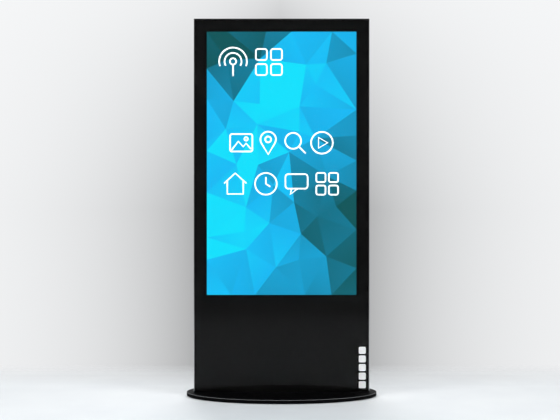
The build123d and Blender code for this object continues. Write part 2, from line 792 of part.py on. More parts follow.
# ---------------------------------------------------------------- service door
skin_x0 = -door_w / 2
skin_x1 = door_w / 2
return_y = cover_in - door_return + sheet_t
notch_low = lock_z - cam_reach + 3
notch_high = lock_z + cam_w / 2 + 4
housing_r = 9.4
door_slot_x = (-120.0, 80.0)
door_slot_z = 330.0
door_slot_h = 80.0
filter_w = 152.0
filter_h = 96.0
filter_t = 4.0

with BuildPart() as service_door:
    block(skin_x0, skin_x1, return_y, rear_y, door_low, door_high)
    block(skin_x0 + sheet_t, skin_x1 - sheet_t, return_y, cover_in,
          door_low + sheet_t, door_high - sheet_t, Mode.SUBTRACT)
    block(skin_x1 - 2 * sheet_t, skin_x1 + 1, return_y, cover_in, notch_low, notch_high, Mode.SUBTRACT)
    rod("y", lock_x, rear_y, lock_z, housing_r + 0.2, 8, Mode.SUBTRACT)
    with BuildSketch(facing(rear_y)):
        for x in door_slot_x:
            with Locations((x, door_slot_z)):
                with GridLocations(12, 0, 12, 1):
                    SlotOverall(door_slot_h, vent_w, rotation=90)
    extrude(amount=sheet_t, mode=Mode.SUBTRACT)

service_door.part.label = "service_door"
export_step(service_door.part, "parts/service_door.step")

with BuildPart() as door_filters:
    for x in door_slot_x:
        block(x - filter_w / 2, x + filter_w / 2, cover_in - filter_t, cover_in,
              door_slot_z - filter_h / 2, door_slot_z + filter_h / 2)

door_filters.part.label = "door_filters"
export_step(door_filters.part, "parts/door_filters.step")

# Hinges: the outer thirds of each barrel belong to the cover, the middle third to the door
third = hinge_h / 3
leaf_y = rear_y + hinge_leaf_t
leaf_clear = hinge_r + 0.4
rivet_out = 19.0
rivet_step = 18.0

with BuildPart() as hinge_leaves:
    for z in hinge_levels:
        block(hinge_x - hinge_leaf_w, hinge_x, rear_y, leaf_y, z - hinge_h / 2, z + hinge_h / 2)
        block(hinge_x - leaf_clear, hinge_x + 1, rear_y - 1, leaf_y + 1,
              z - third / 2, z + third / 2, Mode.SUBTRACT)
        for step in (-1, 1):
            rod("z", hinge_x, hinge_y, z + step * third, hinge_r, third)
    for z in hinge_levels:
        rod("z", hinge_x, hinge_y, z, hinge_pin_r + hinge_fit, hinge_h + 2, Mode.SUBTRACT)

hinge_leaves.part.label = "hinge_leaves"
export_step(hinge_leaves.part, "parts/hinge_leaves.step")

with BuildPart() as door_leaves:
    for z in hinge_levels:
        block(hinge_x, hinge_x + hinge_leaf_w, rear_y, leaf_y, z - hinge_h / 2, z + hinge_h / 2)
        for step in (-1, 1):
            low = z + step * third - third / 2 - hinge_end_gap
            high = z + step * third + third / 2 + hinge_end_gap
            block(hinge_x - 1, hinge_x + leaf_clear, rear_y - 1, leaf_y + 1, low, high, Mode.SUBTRACT)
        rod("z", hinge_x, hinge_y, z, hinge_r, third - 2 * hinge_end_gap)
    for z in hinge_levels:
        rod("z", hinge_x, hinge_y, z, hinge_pin_r + hinge_fit, hinge_h + 2, Mode.SUBTRACT)

door_leaves.part.label = "door_leaves"
export_step(door_leaves.part, "parts/door_leaves.step")

with BuildPart() as hinge_pins:
    for z in hinge_levels:
        rod("z", hinge_x, hinge_y, z, hinge_pin_r, hinge_h)
        rod("z", hinge_x, hinge_y, z + hinge_h / 2 + 0.6, hinge_r - 0.6, 1.2)

hinge_pins.part.label = "hinge_pins"
export_step(hinge_pins.part, "parts/hinge_pins.step")

for name, sign in (("hinge_rivets", -1), ("door_rivets", 1)):
    with BuildPart() as rivets:
        with BuildSketch(facing(leaf_y + 1)):
            for z in hinge_levels:
                with Locations((hinge_x + sign * rivet_out, z)):
                    with GridLocations(0, rivet_step, 1, 3):
                        Circle(3)
        extrude(amount=1)
        fillet(rivets.faces().sort_by(Axis.Y)[-6:].edges(), 0.7)

    rivets.part.label = name
    export_step(rivets.part, f"parts/{name}.step")

# Cam lock
lock_face = rear_y + 2

with BuildPart() as lock_housing:
    rod("y", lock_x, (cam_back + rear_y) / 2, lock_z, housing_r, rear_y - cam_back)
    rod("y", lock_x, rear_y + 1, lock_z, housing_r + 2.2, 2)
    rod("y", lock_x, rear_y, lock_z, plug_r + plug_fit, 40, Mode.SUBTRACT)
    fillet(lock_housing.faces().sort_by(Axis.Y)[-1].outer_wire().edges(), 0.8)

lock_housing.part.label = "lock_housing"
export_step(lock_housing.part, "parts/lock_housing.step")

with BuildPart() as lock_nut:
    with BuildSketch(facing(cover_in)):
        with Locations((lock_x, lock_z)):
            RegularPolygon(14, 6)
            Circle(housing_r + 0.15, mode=Mode.SUBTRACT)
    extrude(amount=3.5)

lock_nut.part.label = "lock_nut"
export_step(lock_nut.part, "parts/lock_nut.step")

plug_front = cam_back - 0.3
plug_face = lock_face - 0.4
cam_front = plug_front - cam_t
square = 7.0
key_w = 1.4
key_h = 7.2
key_depth = 9.0

with BuildPart() as lock_plug:
    rod("y", lock_x, (plug_front + plug_face) / 2, lock_z, plug_r, plug_face - plug_front)
    block(lock_x - square / 2, lock_x + square / 2, cam_front - 2, plug_front,
          lock_z - square / 2, lock_z + square / 2)
    block(lock_x - key_w / 2, lock_x + key_w / 2, lock_face - key_depth, lock_face,
          lock_z - key_h / 2, lock_z + key_h / 2, Mode.SUBTRACT)

lock_plug.part.label = "lock_plug"
export_step(lock_plug.part, "parts/lock_plug.step")

with BuildPart() as lock_cam:
    with BuildSketch(facing(plug_front)):
        rect(lock_x - cam_w / 2, lock_x + cam_w / 2, lock_z - cam_reach, lock_z + cam_w / 2)
        with Locations((lock_x, lock_z)):
            Rectangle(square + 0.2, square + 0.2, mode=Mode.SUBTRACT)
    extrude(amount=cam_t)
    fillet(lock_cam.edges().filter_by(Axis.Y).filter_by(lambda e: abs(e.center().X - lock_x) > square), 5)

lock_cam.part.label = "lock_cam"
export_step(lock_cam.part, "parts/lock_cam.step")

keeper_x = opening_x + 1
keeper_w = 22.0
keeper_h = 40.0
keeper_t = 2.0
keeper_tab = 14.0

with BuildPart() as lock_keeper:
    low = lock_z - keeper_h / 2
    high = lock_z + keeper_h / 2
    keeper_out = keeper_x + keeper_w
    keeper_front = cam_back + 0.4
    block(keeper_x, keeper_out, keeper_front, keeper_front + keeper_t, low, high)
    block(keeper_out - keeper_t, keeper_out, keeper_front, cover_in, low, high)
    block(keeper_out - keeper_t, keeper_out + keeper_tab, cover_in - keeper_t, cover_in, low, high)

lock_keeper.part.label = "lock_keeper"
export_step(lock_keeper.part, "parts/lock_keeper.step")

# ---------------------------------------------------------------- mains and network fittings
inlet_front = 6.0
socket_w = 24.6
socket_h = 16.6
socket_z = inlet_z + 9
socket_depth = 17.0
drawer_w = 21.6
drawer_h = 8.6
drawer_z = inlet_z - 14
drawer_gap = 0.3
drawer_d = 16.0
drawer_wall = 1.2
fitting_flange = 2.5
fitting_fit = 0.3  # body to the edge of its hole
blade_places = ((-7.0, 1.5), (7.0, 1.5), (0.0, -2.5))
blade_w = 2.0
blade_h = 4.0

with BuildPart() as power_inlet:
    block(inlet_x - fitting_hole_w / 2 + fitting_fit, inlet_x + fitting_hole_w / 2 - fitting_fit,
          inlet_front, rear_y,
          inlet_z - fitting_hole_h / 2 + fitting_fit, inlet_z + fitting_hole_h / 2 - fitting_fit)
    block(inlet_x - 18, inlet_x + 18, rear_y, rear_y + fitting_flange, inlet_z - 29, inlet_z + 29)
    chamfer(power_inlet.faces().sort_by(Axis.Y)[-1].outer_wire().edges(), 0.8)
    socket_y = rear_y + fitting_flange
    with BuildSketch(facing(socket_y)):
        with BuildLine():
            Polyline(
                (inlet_x - socket_w / 2, socket_z - socket_h / 2),
                (inlet_x + socket_w / 2, socket_z - socket_h / 2),
                (inlet_x + socket_w / 2, socket_z + socket_h / 2 - 5),
                (inlet_x + socket_w / 2 - 5, socket_z + socket_h / 2),
                (inlet_x - socket_w / 2 + 5, socket_z + socket_h / 2),
                (inlet_x - socket_w / 2, socket_z + socket_h / 2 - 5),
                close=True,
            )
        make_face()
    extrude(amount=socket_depth, mode=Mode.SUBTRACT)
    block(inlet_x - drawer_w / 2 - drawer_gap, inlet_x + drawer_w / 2 + drawer_gap,
          socket_y - drawer_d - drawer_gap, socket_y + 1,
          drawer_z - drawer_h / 2 - drawer_gap, drawer_z + drawer_h / 2 + drawer_gap, Mode.SUBTRACT)
    for x, z in blade_places:
        block(inlet_x + x - blade_w / 2, inlet_x + x + blade_w / 2,
              inlet_front - 1, socket_y - socket_depth + 1,
              socket_z + z - blade_h / 2, socket_z + z + blade_h / 2, Mode.SUBTRACT)

power_inlet.part.label = "power_inlet"
export_step(power_inlet.part, "parts/power_inlet.step")

with BuildPart() as inlet_blades:
    for x, z in blade_places:
        block(inlet_x + x - blade_w / 2, inlet_x + x + blade_w / 2, inlet_front - 6, socket_y - 3,
              socket_z + z - blade_h / 2, socket_z + z + blade_h / 2)

inlet_blades.part.label = "inlet_blades"
export_step(inlet_blades.part, "parts/inlet_blades.step")

with BuildPart() as fuse_drawer:
    block(inlet_x - drawer_w / 2, inlet_x + drawer_w / 2, socket_y - drawer_d, socket_y,
          drawer_z - drawer_h / 2, drawer_z + drawer_h / 2)
    block(inlet_x - drawer_w / 2 + drawer_wall, inlet_x + drawer_w / 2 - drawer_wall,
          socket_y - drawer_d + drawer_wall, socket_y - 3,
          drawer_z - drawer_wall, drawer_z + drawer_h / 2 + 1, Mode.SUBTRACT)
    block(inlet_x - 5, inlet_x + 5, socket_y, socket_y + 1.5, drawer_z - 3, drawer_z - 1.5)

fuse_drawer.part.label = "fuse_drawer"
export_step(fuse_drawer.part, "parts/fuse_drawer.step")

rocker_y = rear_y - 4.5
rocker_w = 8.4
pivot_r = 1.0
switch_front = 12.0
switch_body_w = switch_hole_w - 2 * fitting_fit
switch_body_h = switch_hole_h - 2 * fitting_fit
switch_cup_h = 16.6
switch_cup_w = 9.0

with BuildPart() as switch_body:
    block(switch_x - switch_body_w / 2, switch_x + switch_body_w / 2, switch_front, rear_y,
          fitting_z - switch_body_h / 2, fitting_z + switch_body_h / 2)
    block(switch_x - 9, switch_x + 9, rear_y, rear_y + 2, fitting_z - 12.5, fitting_z + 12.5)
    chamfer(switch_body.faces().sort_by(Axis.Y)[-1].outer_wire().edges(), 0.6)
    block(switch_x - switch_cup_w / 2, switch_x + switch_cup_w / 2, switch_front + 4, rear_y + 3,
          fitting_z - switch_cup_h / 2, fitting_z + switch_cup_h / 2, Mode.SUBTRACT)
    rod("x", switch_x, rocker_y, fitting_z, pivot_r + 0.05, switch_cup_w + 3, Mode.SUBTRACT)
    for z in (-5, 5):
        block(switch_x - 2.4, switch_x + 2.4, switch_front - 8, switch_front,
              fitting_z + z - 0.4, fitting_z + z + 0.4)

switch_body.part.label = "switch_body"
export_step(switch_body.part, "parts/switch_body.step")

rocker_tilt = 10.0
rocker_top = 6.5
rocker_half = 7.4

with BuildPart() as rocker:
    rocker_side = Plane(
        origin=(switch_x - rocker_w / 2, rocker_y, fitting_z), x_dir=(0, 1, 0), z_dir=(1, 0, 0)
    )
    with BuildSketch(rocker_side):
        with BuildLine():
            Polyline((rocker_top, -rocker_half), (-2, -rocker_half + 0.6), (-2, rocker_half - 0.6),
                     (rocker_top, rocker_half))
            ThreePointArc((rocker_top, rocker_half), (rocker_top - 1.4, 0), (rocker_top, -rocker_half))
        make_face()
    extrude(amount=rocker_w)
    fillet(rocker.edges().filter_by(Axis.X).sort_by(Axis.Y)[-2:], 0.7)
    rod("x", switch_x, rocker_y, fitting_z, pivot_r, switch_cup_w + 1.6)

rocker.part = rocker.part.rotate(Axis((switch_x, rocker_y, fitting_z), (1, 0, 0)), rocker_tilt)
rocker.part.label = "rocker"
export_step(rocker.part, "parts/rocker.step")

jack_w = 12.0
jack_h = 8.6
jack_front = 8.0
jack_out = rear_y + 2
jack_depth = 14.0

with BuildPart() as network_jack:
    block(jack_x - jack_hole / 2 + fitting_fit, jack_x + jack_hole / 2 - fitting_fit,
          jack_front, rear_y,
          fitting_z - jack_hole / 2 + fitting_fit, fitting_z + jack_hole / 2 - fitting_fit)
    block(jack_x - 13, jack_x + 13, rear_y, jack_out, fitting_z - 15, fitting_z + 15)
    chamfer(network_jack.faces().sort_by(Axis.Y)[-1].edges(), 0.6)
    block(jack_x - jack_w / 2, jack_x + jack_w / 2, jack_out - jack_depth, jack_out + 1,
          fitting_z - jack_h / 2, fitting_z + jack_h / 2, Mode.SUBTRACT)
    block(jack_x - 3, jack_x + 3, jack_out - 9, jack_out + 1,
          fitting_z - jack_h / 2 - 2.4, fitting_z, Mode.SUBTRACT)
    block(jack_x - jack_w / 2, jack_x + jack_w / 2, jack_front - 1, jack_front + 7,
          fitting_z - 3, fitting_z + 3, Mode.SUBTRACT)

network_jack.part.label = "network_jack"
export_step(network_jack.part, "parts/network_jack.step")

# ---------------------------------------------------------------- fans
strut_w = 4.0
blade_count = 7
blade_front = fan_back - fan_t + 3
blade_back = fan_back - 1.5

for side, sign in (("left", -1), ("right", 1)):
    x = sign * fan_x
    with BuildPart() as fan_frame:
        with BuildSketch(facing(fan_back)):
            with Locations((x, fan_z)):
                RectangleRounded(fan_side, fan_side, 5)
                Circle(fan_hole_r, mode=Mode.SUBTRACT)
                with GridLocations(fan_screw_gap, fan_screw_gap, 2, 2):
                    Circle(screw_thread_r, mode=Mode.SUBTRACT)
        extrude(amount=fan_t)
        with BuildSketch(facing(blade_front - 1)):
            with Locations((x, fan_z)):
                Circle(hub_r)
                for angle in (45, 135, 255):
                    with Locations(Location((0, 0, 0), (0, 0, angle))):
                        with Locations((fan_hole_r / 2, 0)):
                            Rectangle(fan_hole_r + 2, strut_w)
                Circle(shaft_r + shaft_fit, mode=Mode.SUBTRACT)
        extrude(amount=2)

    fan_frame.part.label = f"fan_frame_{side}"
    export_step(fan_frame.part, f"parts/fan_frame_{side}.step")

    with BuildPart() as fan_rotor:
        rod("y", x, (blade_front + blade_back) / 2, fan_z, hub_r, blade_back - blade_front)
        fillet(fan_rotor.faces().sort_by(Axis.Y)[-1].edges(), 1.5)
        rod("y", x, blade_front - 1.5, fan_z, shaft_r, 3)
        for i in range(blade_count):
            turn = 360 * i / blade_count
            spoke = Plane(origin=(x, (blade_front + blade_back) / 2, fan_z), x_dir=(0, 1, 0),
                          z_dir=(math.cos(math.radians(turn)), 0, math.sin(math.radians(turn))))
            with BuildSketch(spoke.offset(hub_r - 1)):
                Rectangle(1.6, 14, rotation=55)
            with BuildSketch(spoke.offset(rotor_r - 1)):
                Rectangle(1.2, 15.5, rotation=38)
            loft()

    fan_rotor.part.label = f"fan_rotor_{side}"
    export_step(fan_rotor.part, f"parts/fan_rotor_{side}.step")

# ---------------------------------------------------------------- internal leads
mains_r = 3.5
signal_r = 3.0
touch_r = 1.8
bend_limit = 40.0
behind_rails = 17.5
sill_y = 8.0  # depth at which the mains lead crosses above the sill
sill_z = 44.0

# Each lead has its radius and the corners of its route
lead_routes = {
    "mains_lead": (mains_r, [
        (inlet_x, 15, inlet_z - fitting_hole_h / 2 + fitting_fit),
        (inlet_x, 15, sill_z),
        (inlet_x + 50, 12, sill_z),
        (10, sill_y, sill_z),
        (psu_x0 + 20, 5, 70),
        (psu_x0 + 20, 5, psu_z0),
    ]),
    "display_lead": (signal_r, [
        (-90, 3, player_z1),
        (-90, 3, 440),
        (-90, behind_rails, 485),
        (-90, behind_rails, 1200),
        (-92, 8, 1228),
        (-92, 8, 1256),
    ]),
    "fan_lead": (signal_r, [
        (fan_x - fan_side / 2 - 0.6, behind_rails, fan_z),
        (72, behind_rails, fan_z - 6),
        (68, behind_rails, fan_z - 60),
        (68, behind_rails, 500),
        (psu_x0 + 25, 5, 460),
        (psu_x0 + 25, 5, psu_z1),
    ]),
    "touch_lead": (touch_r, [
        (-340, tape_y + 3, 470),
        (-340, tape_y + 5, 430),
        (touch_hole_x, -19, 330),
        (touch_hole_x, -19, touch_hole_z + 12),
        (touch_hole_x, -6, touch_hole_z - 8),
        (touch_hole_x + 20, -4, 200),
        (-215, -2, 165),
        (board_x - board_w / 2 - 0.3, -2, board_z),
    ]),
}

for name, (radius, route) in lead_routes.items():
    runs = [math.dist(a, b) for a, b in zip(route, route[1:])]
    bends = []
    for i in range(1, len(route) - 1):
        before = Vector(*route[i]) - Vector(*route[i - 1])
        after = Vector(*route[i + 1]) - Vector(*route[i])
        half_turn = math.radians(before.get_angle(after)) / 2
        bends.append(min(bend_limit, 0.45 * min(runs[i - 1], runs[i]) / math.tan(half_turn)))
    with BuildPart() as lead:
        with BuildLine() as path:
            FilletPolyline(*route, radius=bends)
        with BuildSketch(path.line ^ 0):
            Circle(radius)
        sweep()

    length = sum(edge.length for edge in path.edges())
    print(name, "bends", [round(b, 1) for b in bends], "length", round(length))
    lead.part.label = name
    export_step(lead.part, f"parts/{name}.step")
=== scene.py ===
import json
import math
import random

import bmesh
import bpy
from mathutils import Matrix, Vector, geometry


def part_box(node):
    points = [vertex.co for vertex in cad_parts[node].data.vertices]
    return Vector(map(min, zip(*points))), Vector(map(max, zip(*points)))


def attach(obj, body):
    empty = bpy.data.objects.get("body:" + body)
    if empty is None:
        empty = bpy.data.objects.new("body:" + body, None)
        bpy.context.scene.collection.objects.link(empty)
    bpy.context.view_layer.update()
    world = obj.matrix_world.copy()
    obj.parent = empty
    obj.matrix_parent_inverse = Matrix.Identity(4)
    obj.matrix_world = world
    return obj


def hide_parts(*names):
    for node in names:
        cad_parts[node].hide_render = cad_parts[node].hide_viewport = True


# A touchscreen kiosk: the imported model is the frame, and this script gives it its looks.
# Metres, in the model's own frame: +Z up, the screen faces -Y.

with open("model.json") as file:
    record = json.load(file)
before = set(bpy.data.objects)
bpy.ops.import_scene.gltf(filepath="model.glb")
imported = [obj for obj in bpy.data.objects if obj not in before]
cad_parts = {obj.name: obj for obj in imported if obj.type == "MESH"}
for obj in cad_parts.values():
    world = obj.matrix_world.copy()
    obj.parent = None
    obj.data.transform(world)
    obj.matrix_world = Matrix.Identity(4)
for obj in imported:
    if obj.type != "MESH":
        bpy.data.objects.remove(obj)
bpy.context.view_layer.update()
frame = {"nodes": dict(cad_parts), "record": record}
nodes = frame["nodes"]

glass_low, glass_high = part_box("front_glass")
mask_low, mask_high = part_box("glass_mask")
cell_low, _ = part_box("lcd_cell")
foil_low, foil_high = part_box("touch_foil")

FOIL_EDGE = 0.018  # how far the touch foil reaches past the picture on every side
PICTURE_X = foil_high.x - FOIL_EDGE
PICTURE_LOW = foil_low.z + FOIL_EDGE
PICTURE_HIGH = foil_high.z - FOIL_EDGE
FRONT_Y = glass_low.y


def linear(red, green, blue):
    """A display colour, 0 to 255, as the linear values that shaders take."""
    def channel(value):
        value /= 255
        return value / 12.92 if value <= 0.04045 else ((value + 0.055) / 1.055) ** 2.4

    return channel(red), channel(green), channel(blue), 1.0


# ------------------------------------------------------------------ camera
VIEW_DISTANCE = 4.8
EYE_HEIGHT = 0.908
SIDE_STEP = -0.0078
LENS = 63.3
SENSOR = 36.0

camera_data = bpy.data.cameras.new("view")
camera_data.lens = LENS
camera_data.sensor_width = SENSOR
camera = bpy.data.objects.new("view", camera_data)
camera.location = (SIDE_STEP, FRONT_Y - VIEW_DISTANCE, EYE_HEIGHT)
camera.rotation_euler = (math.radians(90), 0, 0)
bpy.context.scene.collection.objects.link(camera)
bpy.context.scene.camera = camera


# ------------------------------------------------------------------ materials
class Graph:
    """Short ways to add nodes to a node tree and join them."""

    def __init__(self, tree):
        self.tree = tree

    def node(self, kind, **values):
        made = self.tree.nodes.new(kind)
        for key, value in values.items():
            setattr(made, key, value)
        return made

    def join(self, out, into):
        self.tree.links.new(out, into)

    def math(self, operation, *values):
        made = self.node("ShaderNodeMath", operation=operation)
        for socket, value in zip(made.inputs, values):
            if isinstance(value, (int, float)):
                socket.default_value = value
            else:
                self.join(value, socket)
        return made.outputs["Value"]

    def spread(self, factor, low, high, start=0.3, end=0.7):
        made = self.node("ShaderNodeMapRange")
        made.inputs["From Min"].default_value = start
        made.inputs["From Max"].default_value = end
        made.inputs["To Min"].default_value = low
        made.inputs["To Max"].default_value = high
        self.join(factor, made.inputs["Value"])
        return made.outputs["Result"]


class Surface(Graph):
    """A material whose colour, roughness and relief come from procedural patterns."""

    def __init__(self, name, **values):
        self.material = bpy.data.materials.new(name)
        self.material.use_nodes = True
        super().__init__(self.material.node_tree)
        self.shader = self.tree.nodes["Principled BSDF"]
        self.coords = self.node("ShaderNodeTexCoord").outputs["Object"]
        self.normal = None
        for socket, value in values.items():
            self.shader.inputs[socket.replace("_", " ")].default_value = value

    def stretched(self, stretch):
        mapping = self.node("ShaderNodeMapping")
        mapping.inputs["Scale"].default_value = stretch
        self.join(self.coords, mapping.inputs["Vector"])
        return mapping.outputs["Vector"]

    def noise(self, scale, detail=3.0, stretch=(1, 1, 1), distortion=0.0):
        made = self.node("ShaderNodeTexNoise")
        made.inputs["Scale"].default_value = scale
        made.inputs["Detail"].default_value = detail
        made.inputs["Distortion"].default_value = distortion
        self.join(self.stretched(stretch), made.inputs["Vector"])
        return made.outputs["Fac"]

    def cells(self, scale, output="Distance", stretch=(1, 1, 1), feature="F1"):
        made = self.node("ShaderNodeTexVoronoi", feature=feature)
        made.inputs["Scale"].default_value = scale
        self.join(self.stretched(stretch), made.inputs["Vector"])
        return made.outputs[output]

    def colour(self, factor, dark, light, start=0.3, end=0.7):
        made = self.node("ShaderNodeMix", data_type="RGBA")
        made.inputs[6].default_value = dark
        made.inputs[7].default_value = light
        self.join(self.spread(factor, 0, 1, start, end), made.inputs["Factor"])
        self.join(made.outputs[2], self.shader.inputs["Base Color"])
        return self

    def roughness(self, factor, low, high):
        self.join(self.spread(factor, low, high), self.shader.inputs["Roughness"])
        return self

    def relief(self, height, distance, strength=0.5):
        made = self.node("ShaderNodeBump")
        made.inputs["Distance"].default_value = distance
        made.inputs["Strength"].default_value = strength
        self.join(height, made.inputs["Height"])
        if self.normal:
            self.join(self.normal, made.inputs["Normal"])
        self.normal = made.outputs["Normal"]
        self.join(self.normal, self.shader.inputs["Normal"])
        return self


def grey(value):
    return linear(value, value, value)


def powder_coat(name, dark, light, rough, grain, shine=0.4):
    """Baked paint with a fine pebbled skin and faint clouding."""
    made = Surface(name, Specular_IOR_Level=shine)
    made.colour(made.noise(7, 4), dark, light)
    made.roughness(made.noise(60, 4), rough - 0.05, rough + 0.07)
    made.relief(made.noise(grain, 2), 0.0002, 0.35)
    return made.material


PAINTED_HIGHLIGHT_SLOPE = 0.7  # how far up the chamfer of the base plate faces, where its highlight is painted
PAINTED_HIGHLIGHT_REACH = 0.15


def base_coat(name):
    """Deep matt black paint, with a highlight painted in pale grey along the chamfered rim."""
    made = Surface(name, Specular_IOR_Level=0.04)
    cloud = made.noise(9, 4)
    facing_up = made.node("ShaderNodeSeparateXYZ")
    geometry_node = made.node("ShaderNodeNewGeometry")
    made.join(geometry_node.outputs["True Normal"], facing_up.inputs["Vector"])
    slope = made.math("COMPARE", facing_up.outputs["Z"], PAINTED_HIGHLIGHT_SLOPE, PAINTED_HIGHLIGHT_REACH)
    paint = made.node("ShaderNodeMix", data_type="RGBA")
    paint.inputs[6].default_value = linear(2, 2, 3)
    paint.inputs[7].default_value = linear(5, 5, 6)
    made.join(cloud, paint.inputs["Factor"])
    # Painted highlight: where the true normal slopes like the chamfer, the paint turns pale grey in
    # place of the light the rim would catch.
    rim = made.node("ShaderNodeMix", data_type="RGBA")
    rim.inputs[7].default_value = linear(150, 152, 154)
    made.join(slope, rim.inputs["Factor"])
    made.join(paint.outputs[2], rim.inputs[6])
    made.join(rim.outputs[2], made.shader.inputs["Base Color"])
    made.roughness(made.noise(60, 4), 0.55, 0.68)
    made.relief(made.noise(900, 2), 0.0001, 0.25)
    return made.material


def drawn_metal(name, dark, light, rough, stretch, streak=900):
    """Anodised or brushed metal with fine streaks along its length."""
    made = Surface(name, Metallic=1.0)
    lines = made.noise(streak, 5, stretch)
    made.colour(lines, dark, light)
    made.roughness(lines, rough - 0.07, rough + 0.09)
    made.relief(lines, 0.00004, 0.3)
    return made.material


def zinc_plate(name, dark, light):
    """Plated sheet with pale spangles and a soft mottle."""
    made = Surface(name, Metallic=0.9)
    made.colour(made.cells(70, "Color"), dark, light, 0, 1)
    made.roughness(made.noise(45, 4), 0.32, 0.5)
    made.relief(made.noise(300, 3), 0.00005, 0.3)
    return made.material


def machined(name, dark, light, rough=0.3):
    """Turned hardware with a fine tooling grain."""
    made = Surface(name, Metallic=1.0)
    made.colour(made.noise(500, 4), dark, light)
    made.roughness(made.noise(900, 4), rough - 0.08, rough + 0.1)
    made.relief(made.noise(1500, 2), 0.00003, 0.4)
    return made.material


def moulded(name, dark, light, rough=0.5, grain=1400, depth=0.00008):
    """Moulded plastic or rubber with a spark-eroded grain."""
    made = Surface(name, Specular_IOR_Level=0.45)
    made.colour(made.noise(40, 4), dark, light)
    made.roughness(made.noise(220, 3), rough - 0.06, rough + 0.08)
    made.relief(made.cells(grain), depth, 0.5)
    return made.material


def circuit(name):
    """Green solder resist with copper tracks under it and pale pads."""
    made = Surface(name, Specular_IOR_Level=0.5)
    tracks = made.cells(420, "Distance", (1, 1, 0.35), "DISTANCE_TO_EDGE")
    made.colour(tracks, linear(44, 120, 70), linear(16, 62, 38), 0.02, 0.06)
    made.roughness(made.noise(300, 3), 0.25, 0.4)
    made.relief(tracks, 0.0001, 0.4)
    return made.material


def open_foam(name):
    """Reticulated filter foam."""
    made = Surface(name)
    pores = made.cells(700, "Distance", (1, 1, 1), "DISTANCE_TO_EDGE")
    made.colour(pores, grey(62), grey(12), 0.02, 0.3)
    made.roughness(made.noise(200, 2), 0.8, 0.95)
    made.relief(pores, 0.0006, 1.0)
    return made.material


def black_print(name):
    """Opaque black ceramic print behind the glass, with a barely uneven density."""
    made = Surface(name, Specular_IOR_Level=0.0)
    made.colour(made.noise(5, 3), linear(19, 19, 19), linear(22, 22, 22))
    made.roughness(made.noise(80, 3), 0.5, 0.6)
    return made.material


def coated_glass(name, index):
    """Clear glass with an anti-reflective coating, and faint smears left by hands."""
    made = Surface(name, Transmission_Weight=1.0, IOR=index)
    made.shader.inputs["Base Color"].default_value = (0.985, 0.995, 0.99, 1)
    made.roughness(made.noise(6, 5, (1, 1, 1.6), 0.6), 0.01, 0.05)
    return made.material


def lit_picture(name):
    """A display surface that glows in the colours stored on its mesh."""
    made = Surface(name, Specular_IOR_Level=0.0, Roughness=0.5)
    made.shader.inputs["Base Color"].default_value = (0.002, 0.002, 0.002, 1)
    stored = made.node("ShaderNodeVertexColor", layer_name="tone")
    made.join(stored.outputs["Color"], made.shader.inputs["Emission Color"])
    made.shader.inputs["Emission Strength"].default_value = 1.0
    return made.material


def white_ink(name, glow):
    """White shapes that glow: lit from behind where they are part of the picture, with a painted glow
    where they are not.
    """
    made = Surface(name, Roughness=0.5)
    made.colour(made.noise(90, 2), grey(236), grey(246))
    made.shader.inputs["Emission Color"].default_value = (0.93, 0.98, 1.0, 1)
    made.shader.inputs["Emission Strength"].default_value = glow
    return made.material


ALONG_Z = (1, 1, 0.01)  # stretches the streaks along the length of a profile
ALONG_X = (0.01, 1, 1)
looks = {
    "base_paint": base_coat("base_paint"),
    "cover_paint": powder_coat("cover_paint", linear(19, 19, 20), linear(27, 27, 28), 0.45, 1300),
    "edge_aluminium": drawn_metal("edge_aluminium", grey(190), grey(208), 0.17, ALONG_Z),
    "chassis_steel": zinc_plate("chassis_steel", grey(150), grey(196)),
    "fastener_steel": machined("fastener_steel", grey(46), grey(70), 0.38),
    "hinge_steel": machined("hinge_steel", grey(150), grey(180), 0.28),
    "lock_chrome": machined("lock_chrome", grey(205), grey(226), 0.14),
    "black_print": black_print("black_print"),
    "tape_black": moulded("tape_black", grey(20), grey(30), 0.7),
    "tray_steel": zinc_plate("tray_steel", grey(165), grey(205)),
    "white_sheet": moulded("white_sheet", grey(225), grey(240), 0.5, 2500, 0.00003),
    "lcd_glass": moulded("lcd_glass", grey(16), grey(20), 0.3, 3000, 0.00001),
    "circuit_green": circuit("circuit_green"),
    "rubber_black": moulded("rubber_black", grey(20), grey(32), 0.68, 900, 0.00015),
    "plastic_black": moulded("plastic_black", grey(22), grey(32), 0.42),
    "case_aluminium": drawn_metal("case_aluminium", grey(58), grey(76), 0.36, ALONG_Z, 700),
    "cage_steel": zinc_plate("cage_steel", grey(160), grey(200)),
    "cone_paper": moulded("cone_paper", grey(34), grey(52), 0.8, 600, 0.0002),
    "filter_foam": open_foam("filter_foam"),
    "brass": machined("brass", linear(176, 140, 78), linear(206, 170, 104), 0.25),
    "cable_black": moulded("cable_black", grey(18), grey(28), 0.5, 1800, 0.00005),
    "button_silver": machined("button_silver", grey(188), grey(206), 0.22),
}
COATED_INDEX = 1.16  # low, as an anti-reflective coating gives
looks["clear_glass"] = looks["touch_film"] = coated_glass("clear_glass", COATED_INDEX)
edge_across = drawn_metal("edge_aluminium_across", grey(190), grey(208), 0.17, ALONG_X)

for part in frame["record"]["subparts"]:
    target = nodes[part["node"]]
    look = looks[part["material_slot"]]
    if part["node"] == "frame_top":
        look = edge_across
    for place in target.material_slots:
        place.material = look


# ------------------------------------------------------------------ helpers for pieces
def piece_from(bm, name, look, body="tower"):
    """Turns a bmesh into a finished piece that rides on a body."""
    mesh = bpy.data.meshes.new(name)
    bmesh.ops.recalc_face_normals(bm, faces=bm.faces)
    bm.to_mesh(mesh)
    bm.free()
    made = bpy.data.objects.new(name, mesh)
    bpy.context.scene.collection.objects.link(made)
    mesh.materials.append(look)
    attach(made, body)
    return made


